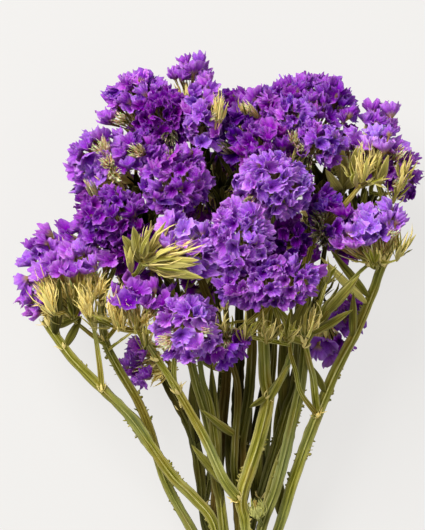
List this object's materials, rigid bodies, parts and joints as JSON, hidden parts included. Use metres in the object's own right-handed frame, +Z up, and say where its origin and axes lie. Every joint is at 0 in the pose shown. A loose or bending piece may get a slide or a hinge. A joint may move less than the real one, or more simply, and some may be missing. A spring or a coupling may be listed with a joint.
{
  "type": "dried flower bunch",
  "caption": "Bunch of dried statice with papery purple flower heads on winged olive stems, tied with twine and lying on its side.",
  "frame": {"origin": "centre of the bounding box in X and Y, on the floor at z = 0", "axes": "+Y along the bunch from its cut ends to its flowers, +Z up from the floor it lies on, +X across it"},
  "size_m": [0.228, 0.3802, 0.1395],
  "materials": {
    "petal": "papery, matte, slightly translucent",
    "leaf": "dry, matte, olive green with straw-coloured bracts",
    "twine": "rough natural fibre"
  },
  "bodies": {
    "root": {"head_01": "petal", "head_02": "petal", "head_03": "petal", "head_04": "petal", "head_05": "petal", "head_06": "petal", "head_07": "petal", "head_08": "petal", "head_09": "petal", "head_10": "petal", "head_11": "petal", "head_12": "petal", "head_13": "petal", "head_14": "petal", "head_15": "petal", "head_16": "petal", "head_17": "petal", "head_18": "petal", "head_19": "petal", "head_20": "petal", "head_21": "petal", "head_22": "petal", "head_23": "petal", "head_24": "petal", "head_25": "petal", "head_26": "petal", "head_27": "petal", "head_28": "petal", "head_29": "petal", "head_30": "petal", "head_31": "petal", "head_32": "petal", "head_33": "petal", "head_34": "petal", "head_35": "petal", "head_36": "petal", "head_37": "petal", "head_38": "petal", "head_39": "petal", "head_40": "petal", "head_41": "petal", "head_42": "petal", "head_43": "petal", "head_44": "petal", "head_45": "petal", "head_46": "petal", "head_47": "petal", "leafy_stem_01": "leaf", "leafy_stem_02": "leaf", "leafy_stem_03": "leaf", "leafy_stem_04": "leaf", "leafy_stem_05": "leaf", "leafy_stem_06": "leaf", "leafy_stem_07": "leaf", "leafy_stem_08": "leaf", "leafy_stem_09": "leaf", "leafy_stem_10": "leaf", "leafy_stem_11": "leaf", "leafy_stem_12": "leaf", "twine_tie": "twine"}
  },
  "joints": []
}
